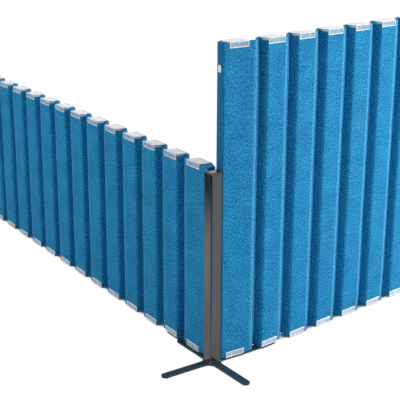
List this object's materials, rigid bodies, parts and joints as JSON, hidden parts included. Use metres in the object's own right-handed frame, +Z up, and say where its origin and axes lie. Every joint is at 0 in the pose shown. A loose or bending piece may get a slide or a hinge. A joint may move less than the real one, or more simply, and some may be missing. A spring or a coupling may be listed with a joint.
{
  "type": "accordion folding partition",
  "caption": "Free-standing corner screen: two pleated felt walls of different height that fold up like an accordion, held by a square post on a four-armed foot.",
  "frame": {"origin": "centre of the post on the floor", "axes": "+Z up, the high wall leaves the post along +X and the low wall along +Y; both fronts face the -X -Y corner"},
  "size_m": [1.349, 2.319, 1.219],
  "materials": {
    "felt": "heathered pressed felt",
    "clip_plastic": "translucent moulded plastic",
    "post_paint": "glossy dark grey lacquer",
    "foot_paint": "satin blue-black powder coat",
    "stud_plastic": "white moulded plastic",
    "screw_steel": "zinc-plated"
  },
  "bodies": {
    "post_and_first_pleats": {"post": "post_paint", "base_plate": "foot_paint", "foot_plug": "screw_steel", "base_screws": "screw_steel", "wall_studs": "stud_plastic", "post_end_clips": "clip_plastic", "high_panel_1": "felt", "low_panel_1": "felt"},
    "high_pleat_2": {"high_panel_2": "felt", "high_clips_2": "clip_plastic"},
    "high_web_2": {"high_fold_2": "felt"},
    "high_pleat_3": {"high_panel_3": "felt", "high_clips_3": "clip_plastic"},
    "high_web_3": {"high_fold_3": "felt"},
    "high_pleat_4": {"high_panel_4": "felt", "high_clips_4": "clip_plastic"},
    "high_web_4": {"high_fold_4": "felt"},
    "high_pleat_5": {"high_panel_5": "felt", "high_clips_5": "clip_plastic"},
    "high_web_5": {"high_fold_5": "felt"},
    "high_pleat_6": {"high_panel_6": "felt", "high_clips_6": "clip_plastic"},
    "high_web_6": {"high_fold_6": "felt"},
    "high_pleat_7": {"high_panel_7": "felt", "high_clips_7": "clip_plastic"},
    "low_pleat_2": {"low_panel_2": "felt", "low_clips_2": "clip_plastic"},
    "low_web_2": {"low_fold_2": "felt"},
    "low_pleat_3": {"low_panel_3": "felt", "low_clips_3": "clip_plastic"},
    "low_web_3": {"low_fold_3": "felt"},
    "low_pleat_4": {"low_panel_4": "felt", "low_clips_4": "clip_plastic"},
    "low_web_4": {"low_fold_4": "felt"},
    "low_pleat_5": {"low_panel_5": "felt", "low_clips_5": "clip_plastic"},
    "low_web_5": {"low_fold_5": "felt"},
    "low_pleat_6": {"low_panel_6": "felt", "low_clips_6": "clip_plastic"},
    "low_web_6": {"low_fold_6": "felt"},
    "low_pleat_7": {"low_panel_7": "felt", "low_clips_7": "clip_plastic"},
    "low_web_7": {"low_fold_7": "felt"},
    "low_pleat_8": {"low_panel_8": "felt", "low_clips_8": "clip_plastic"},
    "low_web_8": {"low_fold_8": "felt"},
    "low_pleat_9": {"low_panel_9": "felt", "low_clips_9": "clip_plastic"},
    "low_web_9": {"low_fold_9": "felt"},
    "low_pleat_10": {"low_panel_10": "felt", "low_clips_10": "clip_plastic"},
    "low_web_10": {"low_fold_10": "felt"},
    "low_pleat_11": {"low_panel_11": "felt", "low_clips_11": "clip_plastic"},
    "low_web_11": {"low_fold_11": "felt"},
    "low_pleat_12": {"low_panel_12": "felt", "low_clips_12": "clip_plastic"},
    "low_web_12": {"low_fold_12": "felt"},
    "low_pleat_13": {"low_panel_13": "felt", "low_clips_13": "clip_plastic"}
  },
  "joints": [
    {"name": "high_swing", "type": "hinge", "parent": "post_and_first_pleats", "child": "high_pleat_2", "pos_m": [0.20755, 0.0255, 0.6], "axis": [0, 0, 1], "range_deg": [-50, 22]},
    {"name": "high_gather", "type": "hinge", "parent": "high_pleat_2", "child": "high_web_2", "pos_m": [0.31896, 0.00846, 0.6], "axis": [0, 0, 1], "range_deg": [-12, 58]},
    {"name": "high_valley_3", "type": "hinge", "parent": "high_web_2", "child": "high_pleat_3", "pos_m": [0.36359, 0.04688, 0.6], "axis": [0, 0, 1], "range_deg": [-58, 12]},
    {"name": "high_corner_3", "type": "hinge", "parent": "high_pleat_3", "child": "high_web_3", "pos_m": [0.47501, 0.02984, 0.6], "axis": [0, 0, 1], "range_deg": [-12, 58]},
    {"name": "high_valley_4", "type": "hinge", "parent": "high_web_3", "child": "high_pleat_4", "pos_m": [0.51964, 0.06825, 0.6], "axis": [0, 0, 1], "range_deg": [-58, 12]},
    {"name": "high_corner_4", "type": "hinge", "parent": "high_pleat_4", "child": "high_web_4", "pos_m": [0.63105, 0.05121, 0.6], "axis": [0, 0, 1], "range_deg": [-12, 58]},
    {"name": "high_valley_5", "type": "hinge", "parent": "high_web_4", "child": "high_pleat_5", "pos_m": [0.67568, 0.08963, 0.6], "axis": [0, 0, 1], "range_deg": [-58, 12]},
    {"name": "high_corner_5", "type": "hinge", "parent": "high_pleat_5", "child": "high_web_5", "pos_m": [0.78709, 0.07259, 0.6], "axis": [0, 0, 1], "range_deg": [-12, 58]},
    {"name": "high_valley_6", "type": "hinge", "parent": "high_web_5", "child": "high_pleat_6", "pos_m": [0.83172, 0.111, 0.6], "axis": [0, 0, 1], "range_deg": [-58, 12]},
    {"name": "high_corner_6", "type": "hinge", "parent": "high_pleat_6", "child": "high_web_6", "pos_m": [0.94313, 0.09396, 0.6], "axis": [0, 0, 1], "range_deg": [-12, 58]},
    {"name": "high_valley_7", "type": "hinge", "parent": "high_web_6", "child": "high_pleat_7", "pos_m": [0.98776, 0.13238, 0.6], "axis": [0, 0, 1], "range_deg": [-58, 12]},
    {"name": "low_swing", "type": "hinge", "parent": "post_and_first_pleats", "child": "low_pleat_2", "pos_m": [0.036, 0.2296, 0.38], "axis": [0, 0, -1], "range_deg": [-46, 30]},
    {"name": "low_gather", "type": "hinge", "parent": "low_pleat_2", "child": "low_web_2", "pos_m": [0.004, 0.33767, 0.38], "axis": [0, 0, -1], "range_deg": [-12, 58]},
    {"name": "low_valley_3", "type": "hinge", "parent": "low_web_2", "child": "low_pleat_3", "pos_m": [0.036, 0.3871, 0.38], "axis": [0, 0, -1], "range_deg": [-58, 12]},
    {"name": "low_corner_3", "type": "hinge", "parent": "low_pleat_3", "child": "low_web_3", "pos_m": [0.004, 0.49517, 0.38], "axis": [0, 0, -1], "range_deg": [-12, 58]},
    {"name": "low_valley_4", "type": "hinge", "parent": "low_web_3", "child": "low_pleat_4", "pos_m": [0.036, 0.5446, 0.38], "axis": [0, 0, -1], "range_deg": [-58, 12]},
    {"name": "low_corner_4", "type": "hinge", "parent": "low_pleat_4", "child": "low_web_4", "pos_m": [0.004, 0.65267, 0.38], "axis": [0, 0, -1], "range_deg": [-12, 58]},
    {"name": "low_valley_5", "type": "hinge", "parent": "low_web_4", "child": "low_pleat_5", "pos_m": [0.036, 0.7021, 0.38], "axis": [0, 0, -1], "range_deg": [-58, 12]},
    {"name": "low_corner_5", "type": "hinge", "parent": "low_pleat_5", "child": "low_web_5", "pos_m": [0.004, 0.81017, 0.38], "axis": [0, 0, -1], "range_deg": [-12, 58]},
    {"name": "low_valley_6", "type": "hinge", "parent": "low_web_5", "child": "low_pleat_6", "pos_m": [0.036, 0.8596, 0.38], "axis": [0, 0, -1], "range_deg": [-58, 12]},
    {"name": "low_corner_6", "type": "hinge", "parent": "low_pleat_6", "child": "low_web_6", "pos_m": [0.004, 0.96767, 0.38], "axis": [0, 0, -1], "range_deg": [-12, 58]},
    {"name": "low_valley_7", "type": "hinge", "parent": "low_web_6", "child": "low_pleat_7", "pos_m": [0.036, 1.0171, 0.38], "axis": [0, 0, -1], "range_deg": [-58, 12]},
    {"name": "low_corner_7", "type": "hinge", "parent": "low_pleat_7", "child": "low_web_7", "pos_m": [0.004, 1.12517, 0.38], "axis": [0, 0, -1], "range_deg": [-12, 58]},
    {"name": "low_valley_8", "type": "hinge", "parent": "low_web_7", "child": "low_pleat_8", "pos_m": [0.036, 1.1746, 0.38], "axis": [0, 0, -1], "range_deg": [-58, 12]},
    {"name": "low_corner_8", "type": "hinge", "parent": "low_pleat_8", "child": "low_web_8", "pos_m": [0.004, 1.28267, 0.38], "axis": [0, 0, -1], "range_deg": [-12, 58]},
    {"name": "low_valley_9", "type": "hinge", "parent": "low_web_8", "child": "low_pleat_9", "pos_m": [0.036, 1.3321, 0.38], "axis": [0, 0, -1], "range_deg": [-58, 12]},
    {"name": "low_corner_9", "type": "hinge", "parent": "low_pleat_9", "child": "low_web_9", "pos_m": [0.004, 1.44017, 0.38], "axis": [0, 0, -1], "range_deg": [-12, 58]},
    {"name": "low_valley_10", "type": "hinge", "parent": "low_web_9", "child": "low_pleat_10", "pos_m": [0.036, 1.4896, 0.38], "axis": [0, 0, -1], "range_deg": [-58, 12]},
    {"name": "low_corner_10", "type": "hinge", "parent": "low_pleat_10", "child": "low_web_10", "pos_m": [0.004, 1.59767, 0.38], "axis": [0, 0, -1], "range_deg": [-12, 58]},
    {"name": "low_valley_11", "type": "hinge", "parent": "low_web_10", "child": "low_pleat_11", "pos_m": [0.036, 1.6471, 0.38], "axis": [0, 0, -1], "range_deg": [-58, 12]},
    {"name": "low_corner_11", "type": "hinge", "parent": "low_pleat_11", "child": "low_web_11", "pos_m": [0.004, 1.75517, 0.38], "axis": [0, 0, -1], "range_deg": [-12, 58]},
    {"name": "low_valley_12", "type": "hinge", "parent": "low_web_11", "child": "low_pleat_12", "pos_m": [0.036, 1.8046, 0.38], "axis": [0, 0, -1], "range_deg": [-58, 12]},
    {"name": "low_corner_12", "type": "hinge", "parent": "low_pleat_12", "child": "low_web_12", "pos_m": [0.004, 1.91267, 0.38], "axis": [0, 0, -1], "range_deg": [-12, 58]},
    {"name": "low_valley_13", "type": "hinge", "parent": "low_web_12", "child": "low_pleat_13", "pos_m": [0.036, 1.9621, 0.38], "axis": [0, 0, -1], "range_deg": [-58, 12]}
  ],
  "couplings": [
    {"joint": "high_valley_3", "follows": "high_gather", "ratio": -1},
    {"joint": "high_corner_3", "follows": "high_gather", "ratio": 1},
    {"joint": "high_valley_4", "follows": "high_gather", "ratio": -1},
    {"joint": "high_corner_4", "follows": "high_gather", "ratio": 1},
    {"joint": "high_valley_5", "follows": "high_gather", "ratio": -1},
    {"joint": "high_corner_5", "follows": "high_gather", "ratio": 1},
    {"joint": "high_valley_6", "follows": "high_gather", "ratio": -1},
    {"joint": "high_corner_6", "follows": "high_gather", "ratio": 1},
    {"joint": "high_valley_7", "follows": "high_gather", "ratio": -1},
    {"joint": "low_valley_3", "follows": "low_gather", "ratio": -1},
    {"joint": "low_corner_3", "follows": "low_gather", "ratio": 1},
    {"joint": "low_valley_4", "follows": "low_gather", "ratio": -1},
    {"joint": "low_corner_4", "follows": "low_gather", "ratio": 1},
    {"joint": "low_valley_5", "follows": "low_gather", "ratio": -1},
    {"joint": "low_corner_5", "follows": "low_gather", "ratio": 1},
    {"joint": "low_valley_6", "follows": "low_gather", "ratio": -1},
    {"joint": "low_corner_6", "follows": "low_gather", "ratio": 1},
    {"joint": "low_valley_7", "follows": "low_gather", "ratio": -1},
    {"joint": "low_corner_7", "follows": "low_gather", "ratio": 1},
    {"joint": "low_valley_8", "follows": "low_gather", "ratio": -1},
    {"joint": "low_corner_8", "follows": "low_gather", "ratio": 1},
    {"joint": "low_valley_9", "follows": "low_gather", "ratio": -1},
    {"joint": "low_corner_9", "follows": "low_gather", "ratio": 1},
    {"joint": "low_valley_10", "follows": "low_gather", "ratio": -1},
    {"joint": "low_corner_10", "follows": "low_gather", "ratio": 1},
    {"joint": "low_valley_11", "follows": "low_gather", "ratio": -1},
    {"joint": "low_corner_11", "follows": "low_gather", "ratio": 1},
    {"joint": "low_valley_12", "follows": "low_gather", "ratio": -1},
    {"joint": "low_corner_12", "follows": "low_gather", "ratio": 1},
    {"joint": "low_valley_13", "follows": "low_gather", "ratio": -1}
  ]
}
